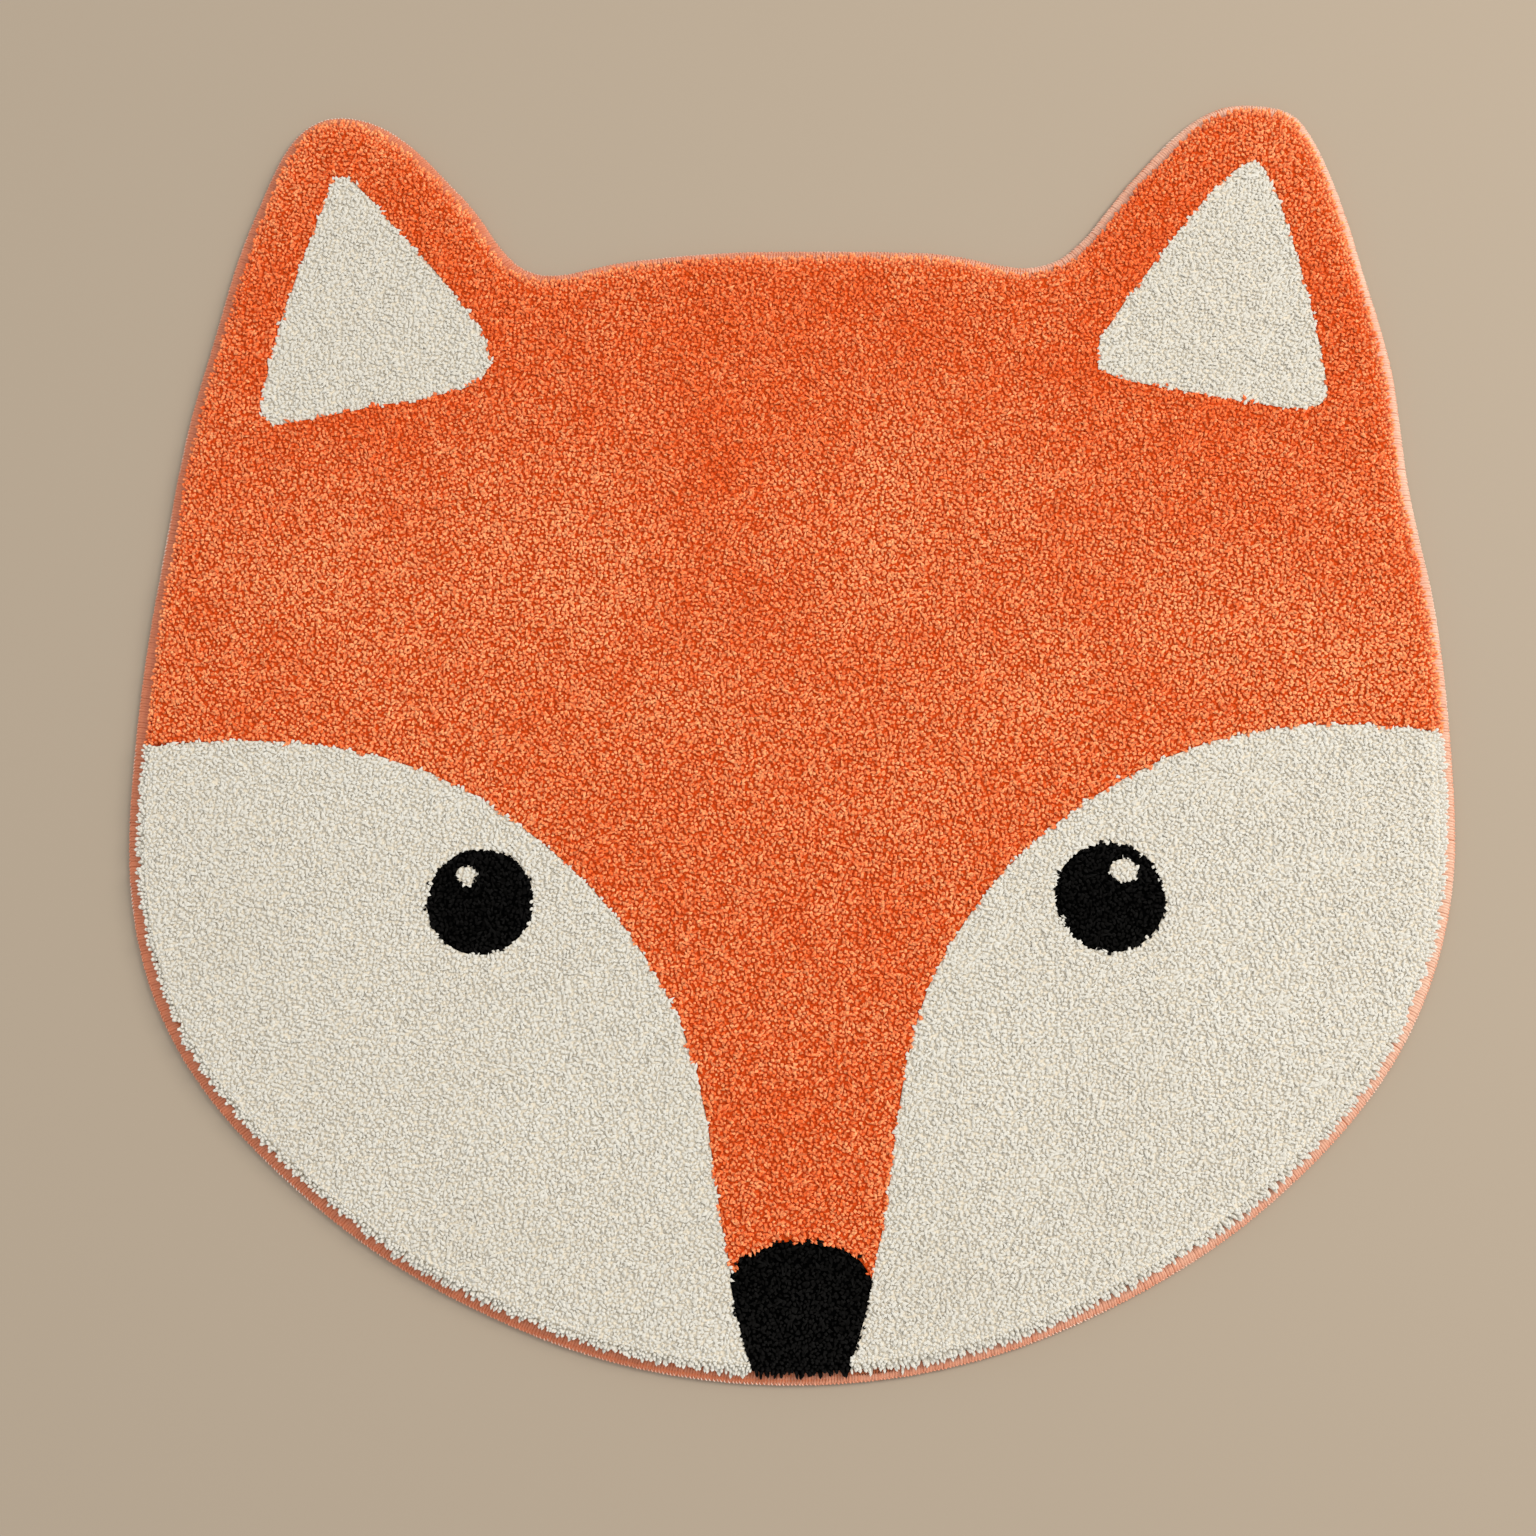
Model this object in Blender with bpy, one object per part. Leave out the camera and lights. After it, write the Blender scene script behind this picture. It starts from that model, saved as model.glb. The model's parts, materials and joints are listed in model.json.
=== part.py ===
"""Fox-face rug for a child's room, lying flat.

Twelve pieces: the backing cloth, the sewn binding round its rim, and ten areas of cut pile, one for each
patch of colour in the face. Metres, +Z up. The rug lies on z = 0 with its chin towards -Y, its ears towards
+Y and the middle of its outline at x = y = 0. Left and right are as seen from above with the ears at the top.
"""

from collections import namedtuple
from math import ceil, cos, radians, sin

import bmesh
import bpy
from mathutils import Vector

# Heights through the rug.
RUG_HEIGHT = 0.0150
BACKING_THICKNESS = 0.0024
GAP = 0.0003  # between neighbouring pieces

# The rim of the backing, squeezed thin by the binding that is sewn round it.
BINDING_WIDTH = 0.0110
BINDING_HEIGHT = 0.0053
BINDING_LIP = 0.0010  # thickness of the binding under the rim
BINDING_WALL = 0.0012  # thickness of the binding outside the rim
LIP_TOP = BINDING_LIP + GAP
RIM_TOP = BACKING_THICKNESS
CHANNEL_TOP = RIM_TOP + GAP

# The pile stands just inside the binding, and its tufts lean out over it in a rounded shoulder.
PILE_BOTTOM = BACKING_THICKNESS + GAP
PILE_FOOT_INSET = BINDING_WIDTH + GAP
SHOULDER_INSET = 0.0080
SHOULDER_BOTTOM = 0.0058
SHOULDER_RADIUS = 0.0035
SHOULDER_STEPS = 1  # rings added in each quarter round
FOOT_OVERLAP = 0.0030  # how far the foot of the pile runs up inside the shoulder

# How finely the outlines are cut into straight pieces.
LONGEST_CHORD = 0.045
MOST_TURN = 8.0  # degrees
ROUND_SIDES = 36
FAR_CORNER = 0.600  # a point beyond the rug that closes the cheek areas
CUTTER_BOTTOM = -0.010
CUTTER_TOP = 0.030
SHARP_ANGLE = radians(40)
WELD = 0.00001

# A place on an outline, where it is, and the way the outline runs there in degrees anticlockwise from +X.
# Each outline goes round anticlockwise.
Knot = namedtuple("Knot", "place x y heading")
Oval = namedtuple("Oval", "name x y half_width half_length")

RUG = [
    Knot("chin", 0.000, -0.497, 0),
    Knot("chin_right", 0.190, -0.461, 22),
    Knot("jowl_right", 0.352, -0.367, 40),
    Knot("lower_cheek_right", 0.454, -0.252, 60),
    Knot("widest_right", 0.500, -0.085, 89),
    Knot("temple_right", 0.487, 0.135, 101),
    Knot("ear_base_right", 0.467, 0.310, 105),
    Knot("ear_side_right", 0.437, 0.432, 109),
    Knot("ear_shoulder_right", 0.414, 0.482, 127),
    Knot("ear_tip_right", 0.374, 0.496, 176),
    Knot("ear_slope_right", 0.274, 0.428, 227),
    Knot("ear_foot_right", 0.213, 0.363, 207),
    Knot("crown_right", 0.120, 0.370, 176),
    Knot("crown", -0.020, 0.373, 180),
    Knot("crown_left", -0.135, 0.364, 188),
    Knot("ear_foot_left", -0.196, 0.355, 170),
    Knot("ear_slope_left", -0.256, 0.418, 133),
    Knot("ear_tip_left", -0.360, 0.491, 181),
    Knot("ear_side_left", -0.424, 0.406, 249),
    Knot("ear_base_left", -0.460, 0.270, 255),
    Knot("temple_left", -0.486, 0.110, 262),
    Knot("widest_left", -0.500, -0.085, 270),
    Knot("lower_cheek_left", -0.455, -0.256, 302),
    Knot("jowl_left", -0.337, -0.379, 322),
    Knot("chin_left", -0.190, -0.461, 338),
]
INNER_EAR_LEFT = [
    Knot("outer_corner", -0.396, 0.228, 6),
    Knot("base", -0.320, 0.243, 9),
    Knot("inner_corner", -0.252, 0.257, 22),
    Knot("inner_bend", -0.233, 0.280, 90),
    Knot("slope_low", -0.268, 0.342, 124),
    Knot("slope_high", -0.309, 0.390, 131),
    Knot("tip_right", -0.346, 0.432, 140),
    Knot("tip", -0.357, 0.434, 214),
    Knot("tip_left", -0.368, 0.412, 254),
    Knot("side", -0.396, 0.322, 253),
    Knot("outer_bend", -0.411, 0.246, 262),
]
INNER_EAR_RIGHT = [
    Knot("inner_corner", 0.246, 0.268, 318),
    Knot("base_inner", 0.295, 0.253, 346),
    Knot("base_outer", 0.364, 0.240, 350),
    Knot("outer_corner", 0.404, 0.235, 6),
    Knot("outer_bend", 0.421, 0.250, 92),
    Knot("side_low", 0.412, 0.317, 98),
    Knot("side_high", 0.397, 0.388, 103),
    Knot("tip_right", 0.381, 0.436, 118),
    Knot("tip", 0.369, 0.442, 205),
    Knot("tip_left", 0.345, 0.424, 225),
    Knot("slope", 0.284, 0.349, 231),
    Knot("slope_low", 0.250, 0.301, 238),
    Knot("inner_bend", 0.243, 0.282, 272),
]
NOSE = [
    Knot("below_right", 0.029, -0.520, 80),
    Knot("side_low_right", 0.040, -0.476, 74),
    Knot("side_right", 0.054, -0.428, 80),
    Knot("corner_right", 0.046, -0.410, 128),
    Knot("top_right", 0.026, -0.399, 158),
    Knot("top", 0.002, -0.396, 180),
    Knot("top_left", -0.023, -0.399, 203),
    Knot("corner_left", -0.042, -0.410, 232),
    Knot("side_left", -0.048, -0.424, 280),
    Knot("side_mid_left", -0.043, -0.450, 288),
    Knot("side_low_left", -0.034, -0.480, 280),
    Knot("below_left", -0.033, -0.520, 270),
]
# The upper edge of each cheek, which then runs out past the rim and back by a far corner.
CHEEK_LEFT = [
    Knot("below_nose", 0.010, -0.530, 132),
    Knot("nose_corner", -0.047, -0.420, 102),
    Knot("snout_low", -0.058, -0.355, 97),
    Knot("snout", -0.073, -0.270, 106),
    Knot("inner_cheek", -0.110, -0.189, 123),
    Knot("beside_eye", -0.172, -0.116, 138),
    Knot("above_eye", -0.272, -0.049, 157),
    Knot("temple", -0.385, -0.024, 176),
    Knot("past_rim", -0.520, -0.030, 186),
]
CHEEK_RIGHT = [
    Knot("past_rim", 0.520, -0.026, 174),
    Knot("temple", 0.390, -0.017, 184),
    Knot("above_eye", 0.283, -0.041, 203),
    Knot("beside_eye", 0.186, -0.100, 219),
    Knot("inner_cheek", 0.112, -0.188, 239),
    Knot("snout", 0.082, -0.269, 258),
    Knot("snout_low", 0.069, -0.350, 264),
    Knot("nose_corner", 0.054, -0.422, 256),
    Knot("below_nose", -0.008, -0.530, 224),
]
EYE_LEFT = Oval("pile_eye_left", -0.233, -0.147, 0.0395, 0.0395)
EYE_RIGHT = Oval("pile_eye_right", 0.236, -0.147, 0.0410, 0.0410)
GLINT_LEFT = Oval("pile_glint_left", -0.243, -0.127, 0.0085, 0.0075)
GLINT_RIGHT = Oval("pile_glint_right", 0.247, -0.127, 0.0105, 0.0085)

# Colour (linear) and roughness of each cloth and yarn.
ORANGE_YARN = ((0.760, 0.150, 0.045), 0.90)
WHITE_YARN = ((0.700, 0.640, 0.530), 0.90)
BLACK_YARN = ((0.008, 0.007, 0.006), 0.85)
BINDING_THREAD = ((0.820, 0.260, 0.130), 0.75)
BACKING_CLOTH = ((0.600, 0.540, 0.430), 0.95)


def clear_scene():
    for old in list(bpy.data.objects):
        bpy.data.objects.remove(old, do_unlink=True)


def new_collection(name, hidden=False):
    collection = bpy.data.collections.new(name)
    collection.hide_render = hidden
    bpy.context.scene.collection.children.link(collection)
    return collection


def turn(start, end):
    """The signed turn from one heading to another, in degrees."""
    return (end.heading - start.heading + 180) % 360 - 180


def stretch(start, end):
    """Points of the smooth line from one knot to the next, the last left out, each with the direction that
    lies outside the outline there. It is a cubic whose handles make it an arc where the knots allow one."""
    first = Vector((start.x, start.y))
    last = Vector((end.x, end.y))
    distance = (last - first).length
    handle = distance / (3 * cos(radians(turn(start, end)) / 4) ** 2)
    leave = first + handle * Vector((cos(radians(start.heading)), sin(radians(start.heading))))
    arrive = last - handle * Vector((cos(radians(end.heading)), sin(radians(end.heading))))
    count = max(1, ceil(distance / LONGEST_CHORD), ceil(abs(turn(start, end)) / MOST_TURN))
    for i in range(count):
        t = i / count
        u = 1 - t
        point = u**3 * first + 3 * u * u * t * leave + 3 * u * t * t * arrive + t**3 * last
        way = u * u * (leave - first) + 2 * u * t * (arrive - leave) + t * t * (last - arrive)
        way.normalize()
        yield point, Vector((way.y, -way.x))


def smooth_line(knots, grow=0.0, closed=True):
    """The line through the knots, moved outwards by grow."""
    pairs = zip(knots, knots[1:] + knots[:1]) if closed else zip(knots, knots[1:])
    points = [point + grow * outwards for pair in pairs for point, outwards in stretch(*pair)]
    if not closed:
        across = Vector((sin(radians(knots[-1].heading)), -cos(radians(knots[-1].heading))))
        points.append(Vector((knots[-1].x, knots[-1].y)) + grow * across)
    return points


def middle_of(points):
    xs = [point.x for point in points]
    ys = [point.y for point in points]
    return Vector(((min(xs) + max(xs)) / 2, (min(ys) + max(ys)) / 2))


MIDDLE = middle_of(smooth_line(RUG))


def centred(points):
    """The points in the rug's own frame, as curve points with z and w."""
    return [(point.x - MIDDLE.x, point.y - MIDDLE.y, 0.0, 1.0) for point in points]


def closed_curve(name, points, collection, dimensions="2D"):
    """A closed curve of straight pieces."""
    curve = bpy.data.curves.new(name, "CURVE")
    curve.dimensions = dimensions
    spline = curve.splines.new("POLY")
    spline.points.add(len(points) - 1)
    spline.points.foreach_set("co", [value for point in points for value in point])
    spline.use_cyclic_u = True
    drawn = bpy.data.objects.new(name, curve)
    collection.objects.link(drawn)
    return drawn


def as_mesh(drawn, name, collection):
    """A curve object made into a mesh object with its caps welded on."""
    bpy.context.view_layer.update()
    evaluated = drawn.evaluated_get(bpy.context.evaluated_depsgraph_get())
    mesh = bpy.data.meshes.new_from_object(evaluated)
    mesh.name = name
    shape = bmesh.new()
    shape.from_mesh(mesh)
    bmesh.ops.remove_doubles(shape, verts=shape.verts, dist=WELD)
    bmesh.ops.recalc_face_normals(shape, faces=shape.faces)
    shape.to_mesh(mesh)
    shape.free()
    solid = bpy.data.objects.new(name, mesh)
    solid.matrix_world = drawn.matrix_world
    collection.objects.link(solid)
    bpy.data.objects.remove(drawn, do_unlink=True)
    return solid


def slab(name, points, bottom, top, collection, rounding=0.0):
    """A flat slab between two heights. With rounding, its edge is a half round that just reaches the
    outline."""
    drawn = closed_curve(name + "_drawn", centred(points), collection)
    drawn.data.fill_mode = "BOTH"
    drawn.data.extrude = (top - bottom) / 2 - rounding
    drawn.data.bevel_depth = rounding
    drawn.data.bevel_resolution = SHOULDER_STEPS
    drawn.location.z = (top + bottom) / 2
    return as_mesh(drawn, name, collection)


def oval_block(oval, name, bottom, top, collection, grow=0.0):
    """An upright round block."""
    bpy.ops.mesh.primitive_cylinder_add(
        vertices=ROUND_SIDES,
        radius=1.0,
        depth=top - bottom,
        location=(oval.x - MIDDLE.x, oval.y - MIDDLE.y, (top + bottom) / 2),
    )
    block = bpy.context.object
    block.name = name
    block.data.name = name
    block.scale = (oval.half_width + grow, oval.half_length + grow, 1.0)
    bpy.ops.object.transform_apply(location=False, rotation=False, scale=True)
    for holder in list(block.users_collection):
        holder.objects.unlink(block)
    collection.objects.link(block)
    return block


def combine(piece, operation, *others):
    """Adds a Boolean modifier for each of the others."""
    for other in others:
        modifier = piece.modifiers.new(f"{operation.lower()}_{other.name}", "BOOLEAN")
        modifier.operation = operation
        modifier.solver = "EXACT"
        modifier.object = other


def finish(piece, look):
    """Gives a piece its own material and its shading."""
    colour, roughness = look
    material = bpy.data.materials.new(piece.name)
    material.use_nodes = True
    shader = material.node_tree.nodes["Principled BSDF"]
    shader.inputs["Base Color"].default_value = (*colour, 1.0)
    shader.inputs["Roughness"].default_value = roughness
    shader.inputs["Metallic"].default_value = 0.0
    piece.data.materials.clear()
    piece.data.materials.append(material)
    piece.data.shade_smooth()
    piece.data.set_sharp_from_angle(angle=SHARP_ANGLE)


def copy_of(piece, name, collection):
    new = piece.copy()
    new.data = piece.data.copy()
    new.name = name
    new.data.name = name
    collection.objects.link(new)
    return new


def make_backing(parts, cutters):
    """The backing cloth: a flat sheet whose rim is squeezed thin on its underside."""
    backing = slab("backing", smooth_line(RUG, -PILE_FOOT_INSET), 0.0, BACKING_THICKNESS, parts)
    rim = slab("backing_rim", smooth_line(RUG, -BINDING_WALL - GAP), LIP_TOP, RIM_TOP, cutters)
    combine(backing, "UNION", rim)
    finish(backing, BACKING_CLOTH)


def make_binding(parts, cutters):
    """The binding: threads sewn over the rim, as a C-shaped section carried round the outline.

    The section's first number is the distance in from the outline, its second the height."""
    section = [
        (BINDING_WIDTH, 0.0),
        (0.20 * BINDING_WIDTH, 0.0),
        (0.03 * BINDING_WIDTH, 0.22 * BINDING_HEIGHT),
        (0.0, 0.45 * BINDING_HEIGHT),
        (0.06 * BINDING_WIDTH, 0.72 * BINDING_HEIGHT),
        (0.22 * BINDING_WIDTH, 0.93 * BINDING_HEIGHT),
        (0.48 * BINDING_WIDTH, BINDING_HEIGHT),
        (0.76 * BINDING_WIDTH, 0.90 * BINDING_HEIGHT),
        (BINDING_WIDTH, 0.66 * BINDING_HEIGHT),
        (BINDING_WIDTH, CHANNEL_TOP),
        (BINDING_WALL, CHANNEL_TOP),
        (BINDING_WALL, BINDING_LIP),
        (BINDING_WIDTH, BINDING_LIP),
    ]
    profile = closed_curve("binding_section", [(-inwards, up, 0.0, 1.0) for inwards, up in section], cutters)
    drawn = closed_curve("binding_drawn", centred(smooth_line(RUG)), parts, "3D")
    drawn.data.twist_mode = "Z_UP"
    drawn.data.bevel_mode = "OBJECT"
    drawn.data.bevel_object = profile
    binding = as_mesh(drawn, "edge_binding", parts)
    bpy.data.objects.remove(profile, do_unlink=True)
    finish(binding, BINDING_THREAD)


def make_pile_blank(cutters):
    """The whole pile as one solid, from which each patch of colour is cut."""
    blank = slab(
        "pile_shoulder",
        smooth_line(RUG, -SHOULDER_INSET - SHOULDER_RADIUS),
        SHOULDER_BOTTOM,
        RUG_HEIGHT,
        cutters,
        rounding=SHOULDER_RADIUS,
    )
    foot_top = SHOULDER_BOTTOM + FOOT_OVERLAP
    foot = slab("pile_foot", smooth_line(RUG, -PILE_FOOT_INSET), PILE_BOTTOM, foot_top, cutters)
    combine(blank, "UNION", foot)
    bpy.context.view_layer.update()
    evaluated = blank.evaluated_get(bpy.context.evaluated_depsgraph_get())
    whole = bpy.data.objects.new("pile_blank", bpy.data.meshes.new_from_object(evaluated))
    whole.matrix_world = blank.matrix_world
    cutters.objects.link(whole)
    for used in (blank, foot):
        bpy.data.objects.remove(used, do_unlink=True)
    return whole


def area(name, knots, grow, cutters):
    """A tall block over one patch of colour, its outline moved outwards by grow."""
    return slab(name, smooth_line(knots, grow), CUTTER_BOTTOM, CUTTER_TOP, cutters)


def cheek_area(name, knots, side, grow, cutters):
    """As area, for a cheek: its upper edge, closed by a far corner on that side."""
    points = smooth_line(knots, grow, closed=False)
    points.append(Vector((side * FAR_CORNER, -FAR_CORNER)))
    return slab(name, points, CUTTER_BOTTOM, CUTTER_TOP, cutters)


def make_pile(parts, cutters):
    """Cuts the pile into its patches, each half a gap back from the line between them."""
    blank = make_pile_blank(cutters)
    half_gap = GAP / 2
    nose_hole = area("nose_hole", NOSE, half_gap, cutters)
    holes = [nose_hole]
    for name, knots in (("pile_ear_left", INNER_EAR_LEFT), ("pile_ear_right", INNER_EAR_RIGHT)):
        holes.append(area(name + "_hole", knots, half_gap, cutters))
        inner_ear = copy_of(blank, name, parts)
        combine(inner_ear, "INTERSECT", area(name + "_area", knots, -half_gap, cutters))
        finish(inner_ear, WHITE_YARN)

    nose = copy_of(blank, "pile_nose", parts)
    combine(nose, "INTERSECT", area("nose_area", NOSE, -half_gap, cutters))
    finish(nose, BLACK_YARN)

    for name, knots, side, eye, glint in (
        ("pile_cheek_left", CHEEK_LEFT, -1, EYE_LEFT, GLINT_LEFT),
        ("pile_cheek_right", CHEEK_RIGHT, 1, EYE_RIGHT, GLINT_RIGHT),
    ):
        holes.append(cheek_area(name + "_hole", knots, side, half_gap, cutters))
        cheek = copy_of(blank, name, parts)
        combine(cheek, "INTERSECT", cheek_area(name + "_area", knots, side, -half_gap, cutters))
        eye_hole = oval_block(eye, eye.name + "_hole", CUTTER_BOTTOM, CUTTER_TOP, cutters, GAP)
        combine(cheek, "DIFFERENCE", nose_hole, eye_hole)
        finish(cheek, WHITE_YARN)
        black = oval_block(eye, eye.name, PILE_BOTTOM, RUG_HEIGHT, parts)
        glint_hole = oval_block(glint, glint.name + "_hole", CUTTER_BOTTOM, CUTTER_TOP, cutters, GAP)
        combine(black, "DIFFERENCE", glint_hole)
        finish(black, BLACK_YARN)
        finish(oval_block(glint, glint.name, PILE_BOTTOM, RUG_HEIGHT, parts), WHITE_YARN)

    field = copy_of(blank, "pile_orange", parts)
    combine(field, "DIFFERENCE", *holes)
    finish(field, ORANGE_YARN)


def main():
    clear_scene()
    parts = new_collection("fox_face_rug")
    cutters = new_collection("cutters", hidden=True)
    make_backing(parts, cutters)
    make_binding(parts, cutters)
    make_pile(parts, cutters)
    for cutter in cutters.objects:
        cutter.hide_render = True
        cutter.display_type = "WIRE"


main()
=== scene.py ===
"""The looks of a fox-face rug: cut pile in three yarns on a cloth backing, with a sewn edge.

Metres, +Z up, the ears towards +Y. Every size is worked out from the frame or from the named sizes below.
"""

import json
import math
from types import SimpleNamespace

import bpy
import numpy as np
from mathutils import Matrix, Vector
from mathutils.geometry import delaunay_2d_cdt


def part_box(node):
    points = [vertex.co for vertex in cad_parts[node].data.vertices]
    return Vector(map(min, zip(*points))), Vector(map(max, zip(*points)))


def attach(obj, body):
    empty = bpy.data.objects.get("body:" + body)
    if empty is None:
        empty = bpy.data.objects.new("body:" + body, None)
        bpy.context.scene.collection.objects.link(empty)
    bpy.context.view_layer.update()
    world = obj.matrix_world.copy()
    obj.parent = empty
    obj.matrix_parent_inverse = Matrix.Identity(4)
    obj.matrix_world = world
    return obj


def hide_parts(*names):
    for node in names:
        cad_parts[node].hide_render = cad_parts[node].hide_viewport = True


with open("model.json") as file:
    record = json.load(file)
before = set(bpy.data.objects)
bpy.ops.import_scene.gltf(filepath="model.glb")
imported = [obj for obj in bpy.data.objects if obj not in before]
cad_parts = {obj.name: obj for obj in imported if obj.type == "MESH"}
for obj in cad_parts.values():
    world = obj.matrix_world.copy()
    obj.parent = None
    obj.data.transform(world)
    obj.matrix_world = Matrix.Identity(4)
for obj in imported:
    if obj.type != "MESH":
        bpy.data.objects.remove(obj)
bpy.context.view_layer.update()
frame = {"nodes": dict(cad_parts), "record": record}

SEED = 5
TAU = 2 * math.pi
MERGE = 1e-5  # points nearer than this are one point
SIDES = 4  # of each yarn and thread

# The pile.
PILE_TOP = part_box("pile_orange")[1].z
PILE_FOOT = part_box("pile_orange")[0].z
BED_TOP = 0.0127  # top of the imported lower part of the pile, from which the tufts rise
TUFT_ROOT = 0.0070  # where an inner tuft starts, inside the bed
TUFT_CROSSING = 0.0136  # the height at which an inner tuft passes over its own place
TUFT_PITCH = 0.00290
TUFT_RADIUS = 0.00142
TUFT_JITTER = 0.40  # of the pitch
TUFT_CUT = 0.0009  # from a tuft's widest place to its tip
SHARED_LEAN = 0.50  # sideways for each step up, as the tuft's neighbours lean
OWN_LEAN = 0.46  # the same, in a way of its own
LEAN_CELL = 0.013  # how wide a group of neighbours is
TIP_BEND = 0.0016  # how much further a tip is bent over, at a lean of one
BORDER_WAVE = 0.0022  # how far the border between two yarns wanders
BORDER_CELL = 0.005  # how long one such wave is
BORDER_STRAY = 0.0013  # how far a single tuft strays over the border
MOST_TUFTS = 16000  # in one piece of a patch

# A tuft's tone, from 0 for its yarn's body colour to 1 for the pale one.
MIDDLE_TONE = 0.47
NAP_SHADING_TONE = 0.40  # how much the nap's painted light and shade adds
OWN_TONE = 0.24  # how much tufts side by side differ
LIT_EDGE_TONE = 0.6  # painted light: what the rug's edge adds on the side towards the light
LIT_EDGE_WIDTH = 0.006
LIGHT_SIDE = (0.7, 0.7)

# Painted light and shade over the pile: broad patches where its nap catches more or less light, paler towards
# the right and on the nose, a painted highlight, and darker at the crown, the ears and the left side, as the
# light falls.
# Columns: middle x and y, half width and half length, how much paler.
NAP_SHADING = np.array(
    [
        (-0.33, 0.09, 0.12, 0.07, 0.50),
        (-0.15, 0.13, 0.05, 0.07, 0.60),
        (0.05, 0.10, 0.05, 0.05, 0.40),
        (0.07, 0.19, 0.02, 0.06, 0.60),
        (0.20, 0.01, 0.05, 0.04, 0.50),
        (0.31, 0.08, 0.07, 0.05, 0.30),
        (0.42, 0.03, 0.06, 0.05, 1.00),
        (0.00, 0.30, 0.19, 0.08, -0.80),
        (-0.05, 0.20, 0.04, 0.07, -0.70),
        (-0.08, -0.10, 0.05, 0.05, -0.40),
        (-0.02, -0.30, 0.05, 0.08, -0.50),
        (-0.33, 0.33, 0.10, 0.11, -1.60),
        (0.33, 0.33, 0.10, 0.11, -1.60),
        (-0.44, -0.16, 0.10, 0.12, -0.90),
        (-0.19, -0.28, 0.03, 0.10, 0.60),
        (-0.24, -0.39, 0.04, 0.04, -0.80),
        (0.32, -0.24, 0.05, 0.11, 0.60),
        (0.10, -0.42, 0.04, 0.04, -1.20),
        (0.00, -0.45, 0.05, 0.04, 0.90),
    ]
)

# The edge of the pile, where the tufts are seen from the side and hang over the binding.
PILE_INSET = 0.0113  # from the rug's outline to the pile's foot
RIM_ZONE = 0.0085  # how far in from its foot the tufts fan outwards
BED_SLOPE = 0.0036  # how far in from its foot the bed reaches its full height
RIM_PITCH = 0.0019
RIM_RADIUS = 0.0014
LOCK_LENGTH = 0.0085  # along the rim, of tufts whose ends hold together
RIM_REACH = 0.0042  # how far the outermost tufts hang out, before waves and locks
RIM_WAVE = 0.0022  # how far the fringe wanders in and out
RIM_DROOP = 0.0030  # how much lower the outermost ends lie
RIM_LIFT = 0.65  # of the lift of the tufts inside
FOOT_PITCH = 0.0019
FOOT_INSET = PILE_INSET + 0.0007
FOOT_TOP = 0.0092  # height of the short tufts that fill the side of the pile
FOOT_REACH = 0.0020

# The backing, which is thinner where the binding holds it.
HELD_WIDTH = 0.0115
HELD_THICKNESS = 0.0013
BACKING_INSET = 0.0018

# The binding, and the threads sewn round it.
BINDING_WIDTH = 0.0110
BINDING_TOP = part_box("edge_binding")[1].z
STITCH_PITCH = 0.0021
STITCH_RADIUS = 0.00140
PURL_PITCH = 0.0028
PURL_RADIUS = 0.00045

# The camera, fitted to the rug's outline.
CAMERA_PLACE = (-0.0182, -0.3533, 1.5906)
CAMERA_TILT = math.radians(10.999)
CAMERA_ROLL = math.radians(-0.428)
LENS = 50.0
SENSOR = 36.0

# Colours: for a yarn from between the tufts to their tips, the first two being painted shade between the
# tufts and towards their roots (for the white a warm tan, as of light bounced between the yarns); for the
# binding's thread in painted shade and painted light; for the purls a darker and a paler thread colour, mixed
# at random.
ORANGE = SimpleNamespace(
    gap=(0.54, 0.056, 0.007), root_shade=(0.62, 0.076, 0.011), body=(0.76, 0.120, 0.019), pale=(0.945, 0.375, 0.150)
)
WHITE = SimpleNamespace(
    gap=(0.69, 0.61, 0.48), root_shade=(0.69, 0.633, 0.53), body=(0.622, 0.585, 0.507), pale=(0.69, 0.662, 0.59)
)
BLACK = SimpleNamespace(
    gap=(0.001, 0.001, 0.001),
    root_shade=(0.0010, 0.0009, 0.0008),
    body=(0.0013, 0.0011, 0.0009),
    pale=(0.0090, 0.0083, 0.0077),
)
BINDING = SimpleNamespace(shade=(0.58, 0.168, 0.070), light=(0.72, 0.445, 0.31))
PURL = SimpleNamespace(shade=(0.74, 0.30, 0.17), light=(0.88, 0.74, 0.62))
BACKING = SimpleNamespace(dark=(0.40, 0.34, 0.25), light=(0.60, 0.54, 0.43))


# ---------------------------------------------------------------- arrays


def soft_noise(points, cell, seed):
    """Smooth random values from -1 to 1 at each (x, y): random values on a square lattice with that cell,
    blended between its corners with the weight t * t * (3 - 2 t) each way."""
    lattice = np.random.default_rng(seed).uniform(-1, 1, (256, 256))
    place = points / cell + 100
    corner = np.floor(place).astype(int)
    t = place - corner
    t = t * t * (3 - 2 * t)
    i, j = corner[:, 0] % 256, corner[:, 1] % 256
    i2, j2 = (i + 1) % 256, (j + 1) % 256
    low = lattice[i, j] * (1 - t[:, 0]) + lattice[i2, j] * t[:, 0]
    high = lattice[i, j2] * (1 - t[:, 0]) + lattice[i2, j2] * t[:, 0]
    return low * (1 - t[:, 1]) + high * t[:, 1]


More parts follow.
